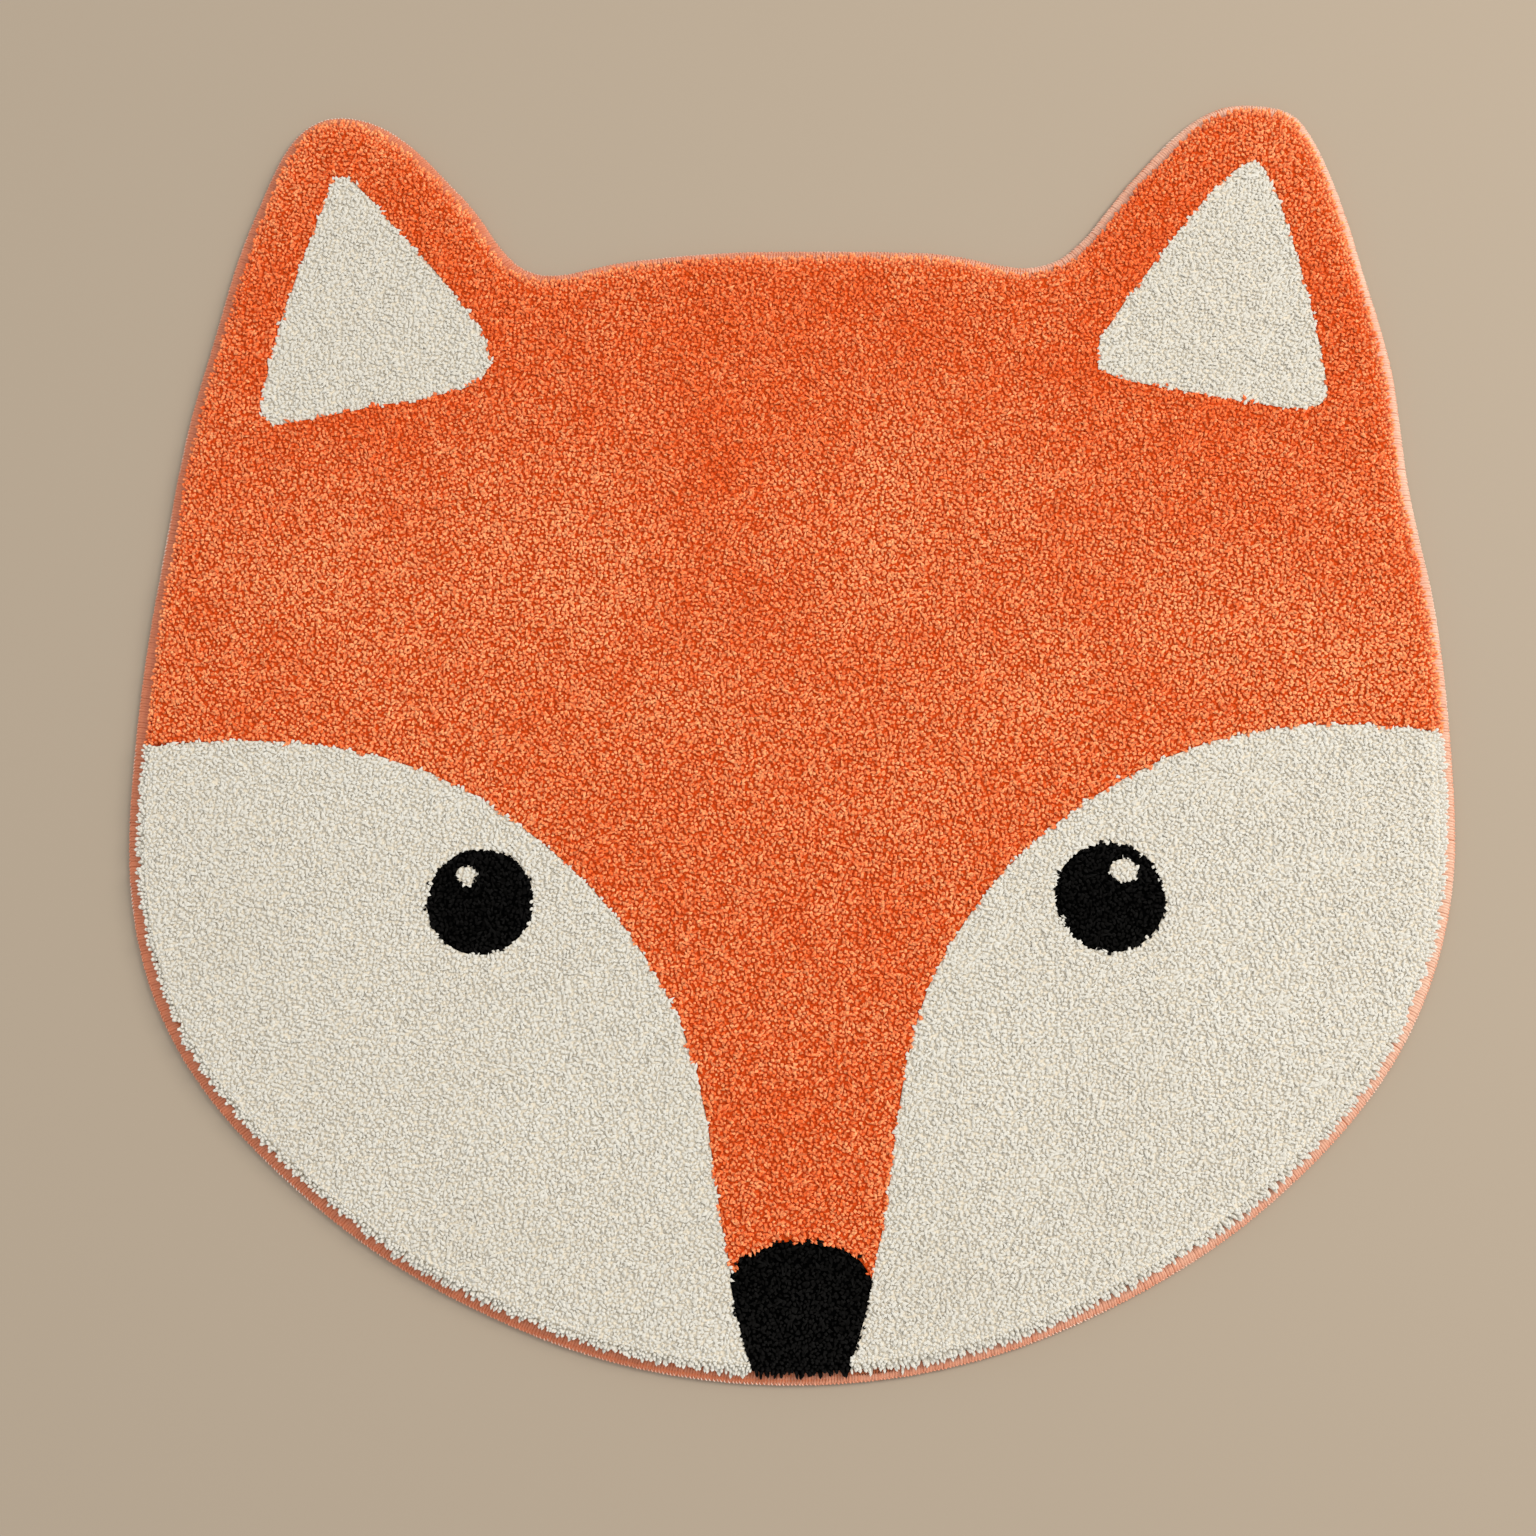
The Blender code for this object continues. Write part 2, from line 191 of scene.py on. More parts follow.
def node_arrays(node):
    """A node's points and triangles, with doubled points made one."""
    mesh = frame["nodes"][node].data
    points = np.empty(len(mesh.vertices) * 3)
    mesh.vertices.foreach_get("co", points)
    mesh.calc_loop_triangles()
    triangles = np.empty(len(mesh.loop_triangles) * 3, int)
    mesh.loop_triangles.foreach_get("vertices", triangles)
    points, index = np.unique(np.round(points.reshape(-1, 3) / MERGE), axis=0, return_inverse=True)
    return points * MERGE, index.reshape(-1)[triangles].reshape(-1, 3)


def foot_edges(node):
    """The outline of a node's flat underside as an array (edge, end, xy): the sides that only one of its
    underside triangles has."""
    points, triangles = node_arrays(node)
    lowest = points[:, 2].min()
    flat = triangles[(points[triangles, 2] < lowest + MERGE).all(axis=1)]
    sides = np.sort(np.concatenate([flat[:, [0, 1]], flat[:, [1, 2]], flat[:, [2, 0]]]), axis=1)
    sides, count = np.unique(sides, axis=0, return_counts=True)
    return points[sides[count == 1], :2]


def inside(points, edges):
    """Whether each point lies within the edges: a line from it towards +X crosses an odd number of them."""
    start, end = edges[:, 0], edges[:, 1]
    x, y = points[:, :1], points[:, 1:]
    spans = (start[:, 1] > y) != (end[:, 1] > y)
    rise = np.where(end[:, 1] == start[:, 1], 1.0, end[:, 1] - start[:, 1])
    crossing = start[:, 0] + (y - start[:, 1]) / rise * (end[:, 0] - start[:, 0])
    return (spans & (crossing > x)).sum(axis=1) % 2 == 1


def smooth_loop(knots, count):
    """A closed smooth line through the knots, at evenly spaced places along it. Between two knots it is the
    cubic whose slope at each knot is the mean of the chords there, the nearer chord counting for more."""
    chord = np.roll(knots, -1, axis=0) - knots
    length = np.linalg.norm(chord, axis=1)[:, None]
    slope = chord / length
    before, before_length = np.roll(slope, 1, axis=0), np.roll(length, 1, axis=0)
    slope = (length * before + before_length * slope) / (length + before_length)
    t = np.linspace(0, 1, 24, endpoint=False)[None, :, None]
    start, end = knots[:, None], np.roll(knots, -1, axis=0)[:, None]
    leave, arrive = (length * slope)[:, None], (length * np.roll(slope, -1, axis=0))[:, None]
    line = (
        (2 * t**3 - 3 * t**2 + 1) * start
        + (t**3 - 2 * t**2 + t) * leave
        + (3 * t**2 - 2 * t**3) * end
        + (t**3 - t**2) * arrive
    ).reshape(-1, 2)
    along = distances(line)
    wanted = np.linspace(0, along[-1], count, endpoint=False)
    return at_distance(line, wanted)


def distances(loop):
    """How far along a closed loop each of its points is, with the whole length last."""
    step = np.linalg.norm(np.roll(loop, -1, axis=0) - loop, axis=1)
    return np.concatenate([[0], np.cumsum(step)])


def at_distance(loop, along, values=None):
    """The loop's point at each distance along it, or the value there of an array with a row for each
    point."""
    values = loop if values is None else values
    ends = distances(loop)
    closed = np.vstack([values, values[:1]])
    return np.stack([np.interp(along % ends[-1], ends, column) for column in closed.T], axis=-1)


def outward_of(loop):
    """The unit direction out of an anticlockwise loop at each of its points: its run turned a quarter
    right."""
    run = np.roll(loop, -1, axis=0) - np.roll(loop, 1, axis=0)
    run /= np.linalg.norm(run, axis=1)[:, None]
    return np.stack([run[:, 1], -run[:, 0]], axis=1)


def rug_outline(count):
    """The rug's outline, from the binding's outermost line: its points as high as the one furthest right, in
    order round the middle."""
    points, _ = node_arrays("edge_binding")
    level = points[points[:, 0].argmax(), 2]
    ring = points[np.abs(points[:, 2] - level) < 2 * MERGE, :2]
    ring = ring[np.argsort(np.arctan2(ring[:, 1], ring[:, 0]))]
    return smooth_loop(ring, count)


def nearest_on(loop, points):
    """The distance from each point to the loop, the way to it, and the index of the loop's nearest point."""
    index = np.concatenate(
        [
            ((part[:, None] - loop[None]) ** 2).sum(axis=2).argmin(axis=1)
            for part in np.array_split(points, len(points) // 2000 + 1)
        ]
    )
    way = loop[index] - points
    distance = np.linalg.norm(way, axis=1)
    return distance, way / np.maximum(distance, MERGE)[:, None], index


# ---------------------------------------------------------------- meshes


def new_piece(name, points, faces, material, smooth=True):
    """A mesh object from an array of points and a list of face arrays, each (faces, corners)."""
    mesh = bpy.data.meshes.new(name)
    corners = np.concatenate([part.ravel() for part in faces]).astype(np.int32)
    sizes = np.concatenate([np.full(len(part), part.shape[1]) for part in faces])
    starts = (np.cumsum(sizes) - sizes).astype(np.int32)
    mesh.vertices.add(len(points))
    mesh.vertices.foreach_set("co", points.astype(np.float32).ravel())
    mesh.loops.add(len(corners))
    mesh.loops.foreach_set("vertex_index", corners)
    mesh.polygons.add(len(sizes))
    mesh.polygons.foreach_set("loop_start", starts)
    mesh.polygons.foreach_set("use_smooth", np.full(len(sizes), smooth))
    mesh.update(calc_edges=True)
    mesh.materials.append(material)
    piece = bpy.data.objects.new(name, mesh)
    bpy.context.scene.collection.objects.link(piece)
    return piece


def belongs(piece, node):
    """The piece stands for that node and moves with the rug; the node itself is hidden. Returns the piece."""
    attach(piece, "root")
    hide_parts(node)
    return piece


def add_values(piece, name, values):
    """A number for each point of the piece, which its material reads by that name."""
    attribute = piece.data.attributes.new(name, "FLOAT", "POINT")
    attribute.data.foreach_set("value", values.astype(np.float32).ravel())


def add_map(piece, name, corners):
    """A UV map, from a (corner, uv) array in the order of the faces' corners."""
    layer = piece.data.uv_layers.new(name=name)
    layer.uv.foreach_set("vector", corners.astype(np.float32).ravel())


def ring_faces(rows, columns, closed):
    """The quads between rows of points carried round the rug, numbered row by row. The last row joins the
    first, and where the section is closed the last column joins the first too."""
    i, j = np.meshgrid(np.arange(rows), np.arange(columns - (not closed)), indexing="ij")
    i, j = i.ravel(), j.ravel()
    i2, j2 = (i + 1) % rows, (j + 1) % columns
    return np.stack([i * columns + j, i * columns + j2, i2 * columns + j2, i2 * columns + j], axis=1)


def tube_faces(rings):
    """The faces of a closed tube that starts and ends in a point: point 0, the rings' points, the last point.
    Returns its triangles and its quads."""
    k = np.arange(SIDES)
    k2 = (k + 1) % SIDES
    last = 1 + (rings - 1) * SIDES
    start = np.stack([np.zeros(SIDES, int), 1 + k2, 1 + k], axis=1)
    end = np.stack([np.full(SIDES, last + SIDES), last + k, last + k2], axis=1)
    low = 1 + SIDES * np.arange(rings - 1)[:, None]
    walls = np.stack([low + k, low + k2, low + SIDES + k2, low + SIDES + k], axis=2)
    return np.concatenate([start, end]), walls.reshape(-1, 4)


def many_tubes(name, middles, radii, twist, material, shares, lift):
    """Many like tubes in one mesh. middles is (tube, station, xyz), each tube's middle line from end to end;
    radii is (tube, ring), for the stations between its two ends, which are points; twist is how far each tube
    is turned about its line; shares says for each station how far up the yarn it lies. Each ring's points lie
    on a circle across the line. The normals are the directions out of the line plus lift times straight up,
    because loose fibres catch the light from above on every side of a yarn. Returns the piece, and how many
    points each tube has."""
    tubes, rings = radii.shape
    run = np.gradient(middles, axis=1)
    run /= np.linalg.norm(run, axis=2)[:, :, None]
    side = np.cross(run, np.array([0.0, 1.0, 0.001]))
    side /= np.linalg.norm(side, axis=2)[:, :, None]
    up = np.cross(run, side)
    angle = twist[:, None, None] + TAU * np.arange(SIDES)[None, None] / SIDES
    across = np.cos(angle)[..., None] * side[:, 1:-1, None] + np.sin(angle)[..., None] * up[:, 1:-1, None]
    walls = (middles[:, 1:-1, None] + radii[:, :, None, None] * across).reshape(tubes, -1, 3)
    points = np.concatenate([middles[:, :1], walls, middles[:, -1:]], axis=1)
    each = points.shape[1]
    offset = (np.arange(tubes) * each)[:, None, None]
    faces = [(part[None] + offset).reshape(-1, part.shape[1]) for part in tube_faces(rings)]
    faces = [part for part in faces if len(part)]
    piece = new_piece(name, points.reshape(-1, 3), faces, material)
    normals = np.concatenate([-run[:, :1], across.reshape(tubes, -1, 3), run[:, -1:]], axis=1)
    normals = normals.reshape(-1, 3) + [0, 0, lift]
    normals /= np.linalg.norm(normals, axis=1)[:, None]
    piece.data.normals_split_custom_set_from_vertices(normals)
    share = np.concatenate([shares[:1], np.repeat(shares[1:-1], SIDES), shares[-1:]])
    add_values(piece, "rise", np.tile(share, tubes))
    add_cells(piece, tubes, rings)
    return piece, each


def add_cells(piece, tubes, rings):
    """The piece's UV map for baking. Each tube has a square cell of its own in a grid, with u round the tube
    and v along it."""
    across = math.ceil(math.sqrt(tubes))
    k = np.arange(SIDES)
    level = np.arange(rings + 2) / (rings + 1)

    def strip(round_it, along_it):
        return np.stack([np.stack(round_it, 1) / SIDES, np.tile(level[along_it], (SIDES, 1))], 2)

    start = strip([k + 0.5, k + 1, k], [0, 1, 1])
    end = strip([k + 0.5, k, k + 1], [-1, -2, -2])
    walls = [strip([k, k + 1, k + 1, k], [r, r, r + 1, r + 1]) for r in range(1, rings)]
    cell = np.stack([np.arange(tubes) % across, np.arange(tubes) // across], axis=1)[:, None]
    margin = 0.04
    corners = [
        ((margin + (1 - 2 * margin) * part.reshape(1, -1, 2) + cell) / across).reshape(-1, 2)
        for part in [np.concatenate([start, end])] + ([np.concatenate(walls)] if walls else [])
    ]
    add_map(piece, "OFBake", np.concatenate(corners))


# ---------------------------------------------------------------- materials


def new_material(name, roughness, sheen=0.0, specular=0.25):
    """A material, its node tree and its shader."""
    material = bpy.data.materials.new(name)
    material.use_nodes = True
    tree = material.node_tree
    shader = tree.nodes["Principled BSDF"]
    shader.inputs["Roughness"].default_value = roughness
    shader.inputs["Specular IOR Level"].default_value = specular
    shader.inputs["Sheen Weight"].default_value = sheen
    shader.inputs["Sheen Roughness"].default_value = 0.5
    return material, tree, shader


def add_node(tree, kind, inputs=None, **settings):
    """A node of that kind, with its settings and its input values or links."""
    node = tree.nodes.new(kind)
    for key, value in settings.items():
        setattr(node, key, value)
    for key, value in (inputs or {}).items():
        if isinstance(value, bpy.types.NodeSocket):
            tree.links.new(value, node.inputs[key])
        else:
            node.inputs[key].default_value = value
    return node


def mixed(tree, share, first, second):
    """The colour that lies that share of the way from the first to the second."""
    node = add_node(tree, "ShaderNodeMix", data_type="RGBA", blend_type="MIX")
    for socket, value in ((0, share), (6, first), (7, second)):
        if isinstance(value, bpy.types.NodeSocket):
            tree.links.new(value, node.inputs[socket])
        elif isinstance(value, tuple):
            node.inputs[socket].default_value = (*value, 1.0)
        else:
            node.inputs[socket].default_value = value
    return node.outputs[2]


def yarn_material(name, colours, streaks, roughness=0.9, sheen=0.15, specular=0.25):
    """Pile yarn: the painted shade of its root colour low down the tuft, and between body and pale at its tip
    by the tuft's own tone. Streaks narrower than a tuft make it lighter or darker by up to that share, and
    finer noise raises its fibres."""
    material, tree, shader = new_material(name, roughness, sheen, specular)
    tone = add_node(tree, "ShaderNodeAttribute", attribute_name="tone").outputs["Fac"]
    rise = add_node(tree, "ShaderNodeAttribute", attribute_name="rise").outputs["Fac"]
    place = add_node(tree, "ShaderNodeTexCoord").outputs["Object"]
    fibre = add_node(tree, "ShaderNodeTexNoise", {"Vector": place, "Scale": 900.0, "Detail": 2.0})
    tip = mixed(tree, tone, colours.body, colours.pale)
    # Painted shade: low down, the tuft takes its root colour, the shade between the tufts.
    lit = add_node(
        tree, "ShaderNodeMapRange", {"Value": rise, "From Min": 0.55, "From Max": 0.95}, clamp=True
    ).outputs[0]
    colour = mixed(tree, lit, colours.root_shade, tip)
    strand = add_node(tree, "ShaderNodeTexNoise", {"Vector": place, "Scale": 560.0, "Detail": 2.0})
    low, high = 0.98 - streaks, 0.98 + streaks
    flecks = add_node(
        tree,
        "ShaderNodeMapRange",
        {"Value": strand.outputs[0], "From Min": 0.4, "From Max": 0.6, "To Min": low, "To Max": high},
    ).outputs[0]
    colour = add_node(tree, "ShaderNodeVectorMath", {0: colour, 1: flecks}, operation="MULTIPLY").outputs[0]
    tree.links.new(colour, shader.inputs["Base Color"])
    bump = add_node(
        tree, "ShaderNodeBump", {"Height": fibre.outputs[0], "Strength": 0.5, "Distance": 0.0004}
    )
    tree.links.new(bump.outputs[0], shader.inputs["Normal"])
    return material


def bed_material(name, colours):
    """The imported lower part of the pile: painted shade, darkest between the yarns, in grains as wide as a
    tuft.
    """
    material, tree, shader = new_material(name, roughness=0.95, specular=0.0)
    place = add_node(tree, "ShaderNodeTexCoord").outputs["Object"]
    grain = add_node(tree, "ShaderNodeTexVoronoi", {"Vector": place, "Scale": 1 / TUFT_PITCH})
    share = add_node(
        tree,
        "ShaderNodeMapRange",
        {"Value": grain.outputs["Distance"], "From Min": 0.1, "From Max": 0.7, "To Min": 1.0, "To Max": 0.0},
    ).outputs[0]
    tree.links.new(mixed(tree, share, colours.gap, colours.root_shade), shader.inputs["Base Color"])
    bump = add_node(tree, "ShaderNodeBump", {"Height": share, "Strength": 1.0, "Distance": 0.0015})
    tree.links.new(bump.outputs[0], shader.inputs["Normal"])
    return material


def thread_material(name, shade, light, roughness=0.5, specular=0.5):
    """Smooth sewing thread, between shade and light by each stitch's tone, with its ply as a fine bump."""
    material, tree, shader = new_material(name, roughness, sheen=0.15, specular=specular)
    tone = add_node(tree, "ShaderNodeAttribute", attribute_name="tone").outputs["Fac"]
    place = add_node(tree, "ShaderNodeTexCoord").outputs["Object"]
    fibre = add_node(tree, "ShaderNodeTexNoise", {"Vector": place, "Scale": 1500.0, "Detail": 2.0})
    tree.links.new(mixed(tree, tone, shade, light), shader.inputs["Base Color"])
    bump = add_node(
        tree, "ShaderNodeBump", {"Height": fibre.outputs[0], "Strength": 0.4, "Distance": 0.0002}
    )
    tree.links.new(bump.outputs[0], shader.inputs["Normal"])
    return material


def cloth_material(name, colours):
    """Plain weave: two families of bands that cross, over and under by turns, with a slubby unevenness."""
    material, tree, shader = new_material(name, roughness=0.95)
    place = add_node(tree, "ShaderNodeTexCoord").outputs["Object"]
    bands = {"Vector": place, "Scale": 110.0, "Distortion": 1.5, "Detail": 1.0, "Detail Scale": 3.0}
    warp = add_node(tree, "ShaderNodeTexWave", bands, bands_direction="X")
    weft = add_node(tree, "ShaderNodeTexWave", bands, bands_direction="Y")
    weave = add_node(
        tree, "ShaderNodeMath", {0: warp.outputs["Fac"], 1: weft.outputs["Fac"]}, operation="MULTIPLY"
    ).outputs[0]
    slub = add_node(tree, "ShaderNodeTexNoise", {"Vector": place, "Scale": 60.0, "Detail": 3.0}).outputs[0]
    base = mixed(tree, weave, colours.dark, colours.light)
    base = mixed(tree, slub, base, colours.light)
    tree.links.new(base, shader.inputs["Base Color"])
    bump = add_node(tree, "ShaderNodeBump", {"Height": weave, "Strength": 0.6, "Distance": 0.0005})
    tree.links.new(bump.outputs[0], shader.inputs["Normal"])
    return material


# ---------------------------------------------------------------- the pile


def tuft_places(pitch, outline, near=None):
    """Places for tufts over the whole rug, or only those near its outline. They are set as a sunflower's
    seeds: each is turned by the golden angle from the one before it, and place n lies at pitch * sqrt(n / pi)
    from the middle, so each has the area pitch ** 2. Then every place is moved a little at random. With each
    goes the place that says whose yarn it is, which strays a little across the borders of the patches but
    never out of the pile, its distance from the outline, the way there, and how far along the outline that
    is."""
    rng = np.random.default_rng(SEED)
    widest = np.linalg.norm(outline, axis=1).max()
    n = np.arange(int(math.pi * (widest / pitch) ** 2))
    turn = n * math.pi * (3 - math.sqrt(5))
    flat = pitch * np.sqrt(n / math.pi)[:, None] * np.stack([np.cos(turn), np.sin(turn)], axis=1)
    flat += TUFT_JITTER * pitch * rng.uniform(-1, 1, flat.shape)
    if near:
        flat = flat[nearest_on(outline[::16], flat)[0] < 2 * near]
    distance, way, index = nearest_on(outline, flat)
    wave = np.stack([soft_noise(flat, BORDER_CELL, seed=67), soft_noise(flat, BORDER_CELL, seed=68)], axis=1)
    step = BORDER_WAVE * wave + BORDER_STRAY * rng.uniform(-1, 1, flat.shape)
    margin = 0.0004
    past = PILE_INSET + margin - (distance - (step * way).sum(axis=1))
    owner = flat + step - way * np.maximum(past, 0)[:, None]
    along = distances(outline)[index]
    return SimpleNamespace(flat=flat, owner=owner, distance=distance, way=way, along=along)


def row_places(outline, outward):
    """Places for the row of short tufts round the foot of the pile, evenly spaced along the outline."""
    length = distances(outline)[-1]
    count = round(length / FOOT_PITCH)
    along = np.arange(count) * length / count
    way = at_distance(outline, along, outward)
    flat = at_distance(outline, along) - way * FOOT_INSET
    distance = np.full(count, FOOT_INSET)
    return SimpleNamespace(flat=flat, owner=flat, distance=distance, way=way, along=along)


def chosen(places, rows):
    """Some of the places."""
    return SimpleNamespace(**{key: value[rows] for key, value in vars(places).items()})


def standing_tufts(places, rng):
    """Middle lines and radii of the tufts inside the rug: place + lean * (height - crossing), with the tip
    bent over a little further. The lean is in part shared with the neighbours and in part the tuft's own, so
    the ends lie evenly over the rug and point all ways."""
    count = len(places.flat)
    shared = [soft_noise(places.flat, LEAN_CELL, seed=21), soft_noise(places.flat, LEAN_CELL, seed=22)]
    lean = SHARED_LEAN * np.stack(shared, axis=1) + OWN_LEAN * rng.normal(0, 1, (count, 2))
    tip = PILE_TOP - rng.uniform(0.0001, 0.0010, count)
    height = np.stack([np.full(count, TUFT_ROOT), tip - TUFT_CUT, tip], axis=1)
    flat = places.flat[:, None] + lean[:, None] * (height - TUFT_CROSSING)[..., None]
    flat[:, 2] += TIP_BEND * (lean + 0.5 * rng.normal(0, 1, (count, 2)))
    line = np.concatenate([flat, height[..., None]], axis=2)
    radii = TUFT_RADIUS * rng.uniform(0.7, 1.3, (count, 1))
    return line, radii, np.array([0.0, 0.8, 1.0])


def fanned_tufts(places, rng):
    """Middle lines and radii of the tufts at the rug's edge, which fan outwards from their foot: sideways
    travel grows as share ** 1.8 and height as 1 - (1 - share) ** 1.5. Their ends hold together in locks: each
    is drawn along the rim towards the middle of its lock, and the ends by the middle reach furthest. How far
    they reach also wanders along the rim, and the locks stand out more at the two ends of the rug than at its
    sides."""
    count = len(places.flat)
    depth = np.clip((places.distance - PILE_INSET) / RIM_ZONE, 0, 1)
    fan = (1 - depth) ** 1.2
    phase = places.along / LOCK_LENGTH + 0.45 * soft_noise(places.flat, 0.016, seed=25)
    off = phase - np.floor(phase) - 0.5
    of_lock = np.random.default_rng(SEED + 7).uniform(0.2, 1.0, 1000)[np.floor(phase).astype(int) % 1000]
    loose = np.abs(places.way[:, 1]) ** 1.5
    lock = of_lock * (1 - np.abs(2 * off) ** 1.5)
    wave = RIM_WAVE * soft_noise(places.flat, 0.045, seed=26) + 0.0018 * rng.random(count)
    wave += 0.0009 * places.way[:, 0]
    reach = fan * (RIM_REACH + wave + 0.0004 * loose + (0.0004 + 0.0028 * loose) * lock)
    droop = fan * (RIM_DROOP + 0.9 * np.maximum(reach - 0.0045, 0))
    tip = PILE_TOP - rng.uniform(0.0002, 0.0012, count) - droop
    along_rim = np.stack([-places.way[:, 1], places.way[:, 0]], axis=1)
    drawn = -off * LOCK_LENGTH * (0.08 + 0.25 * loose) * fan + rng.normal(0, 0.0010, count)
    share = np.array([0.0, 0.4, 0.86, 1.0])[None, :, None]
    sideways = places.way * reach[:, None] + along_rim * drawn[:, None]
    flat = places.flat[:, None] + sideways[:, None] * share**1.8
    height = PILE_FOOT + (tip - PILE_FOOT)[:, None, None] * (1 - (1 - share) ** 1.5)
    line = np.concatenate([flat, height], axis=2)
    radii = RIM_RADIUS * np.array([1.1, 0.9]) * rng.uniform(0.8, 1.2, (count, 1))
    return line, radii, np.array([0.0, 0.4, 0.86, 1.0])


def foot_tufts(places, rng):
    """Middle lines and radii of the short tufts round the foot of the pile, which fill its side under the
    fringe. Each leans straight out: it passes place + way * reach * share at that share of its height."""
    count = len(places.flat)
    tip = FOOT_TOP + rng.uniform(-0.0010, 0.0010, count)
    share = np.array([0.0, 0.45, 1.0])[None, :, None]
    flat = places.flat[:, None] + places.way[:, None] * FOOT_REACH * share
    flat += rng.normal(0, 0.0003, (count, 1, 2)) * share
    height = PILE_FOOT + (tip - PILE_FOOT)[:, None, None] * share
    line = np.concatenate([flat, height], axis=2)
    radii = RIM_RADIUS * rng.uniform(0.95, 1.2, (count, 1))
    # Painted shade: the shares stop short of the tips, so these tufts under the fringe take more of the root
    # colour.
    return line, radii, np.array([0.4, 0.7, 0.8])


def nap_shading(flat):
    """How much paler the pile looks at each place, as painted light and shade: where its nap catches more or
    less light, and where more or less light falls on the rug. These are the broad patches, each strength *
    exp(-(x / half width) ** 2 - (y / half length) ** 2), and small random ones."""
    x = (flat[:, None, 0] - NAP_SHADING[:, 0]) / NAP_SHADING[:, 2]
    y = (flat[:, None, 1] - NAP_SHADING[:, 1]) / NAP_SHADING[:, 3]
    broad = (NAP_SHADING[:, 4] * np.exp(-(x**2) - y**2)).sum(axis=1)
    return broad + 0.35 * soft_noise(flat, 0.03, seed=31) + 0.30 * soft_noise(flat, 0.08, seed=32)


def make_tufts(name, places, lines, material, seed, lift):
    """One piece of tufts: four-sided yarns, thick up to their cut ends. A tuft's tone is the middle one,
    paler or darker by the painted light and shade of the pile's nap, paler by painted light where the rug's
    edge faces the light, and a random part of its own."""
    rng = np.random.default_rng(seed)
    line, radii, shares = lines(places, rng)
    count = len(line)
    twist = rng.uniform(0, TAU, count)
    piece, each = many_tubes(name, line, radii, twist, material, shares, lift=lift)
    # Painted light: the outermost tufts are paler on the side of the rug that faces the light.
    lit_edge = LIT_EDGE_TONE * np.clip(1 - (places.distance - PILE_INSET) / LIT_EDGE_WIDTH, 0, 1)
    lit_edge *= np.maximum(places.way @ LIGHT_SIDE, 0)
    tone = MIDDLE_TONE + NAP_SHADING_TONE * nap_shading(places.flat) + lit_edge + rng.normal(0, OWN_TONE, count)
    add_values(piece, "tone", np.repeat(np.clip(tone, 0, 1), each))
    return piece


def make_bed(node, outline, outward, material):
    """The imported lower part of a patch's pile. Its outline is the patch's own, and it is filled with
    triangles between that and rows of points along the rug's edge. Its top is flat, and at the rug's edge it
    is rounded down to the foot of the tufts: the height grows as the sine of a quarter turn over the
    slope."""
    edges = foot_edges(node)
    border, index = np.unique(np.round(edges.reshape(-1, 2) / MERGE), axis=0, return_inverse=True)
    insets = [PILE_INSET + share * BED_SLOPE for share in (0.25, 0.55, 1.0)]
    rows = np.concatenate([outline - outward * inset for inset in insets])
    flat = np.concatenate([border * MERGE, rows[inside(rows, edges)]])
    flat, _, top, *_ = delaunay_2d_cdt(flat.tolist(), index.reshape(-1, 2).tolist(), [], 0, MERGE / 10)
    flat, top = np.array(flat), np.array(top)
    top = top[inside(flat[top].mean(axis=1), edges)]
    share = np.clip((nearest_on(outline, flat)[0] - PILE_INSET) / BED_SLOPE, 0, 1)
    lip = 0.0005
    height = PILE_FOOT + lip + (BED_TOP - PILE_FOOT - lip) * np.sin(share * math.pi / 2)
    count = len(flat)
    foot = np.full(count, PILE_FOOT)
    points = np.concatenate([np.column_stack([flat, height]), np.column_stack([flat, foot])])
    sides = np.concatenate([top[:, [0, 1]], top[:, [1, 2]], top[:, [2, 0]]])
    sides = sides[~np.isin(sides @ [count, 1], sides @ [1, count])]
    walls = np.column_stack([sides + count, sides[:, ::-1]])
    faces = [top, top[:, ::-1] + count, walls]
    return new_piece(node.replace("pile", "pile_bed"), points, faces, material, smooth=False)


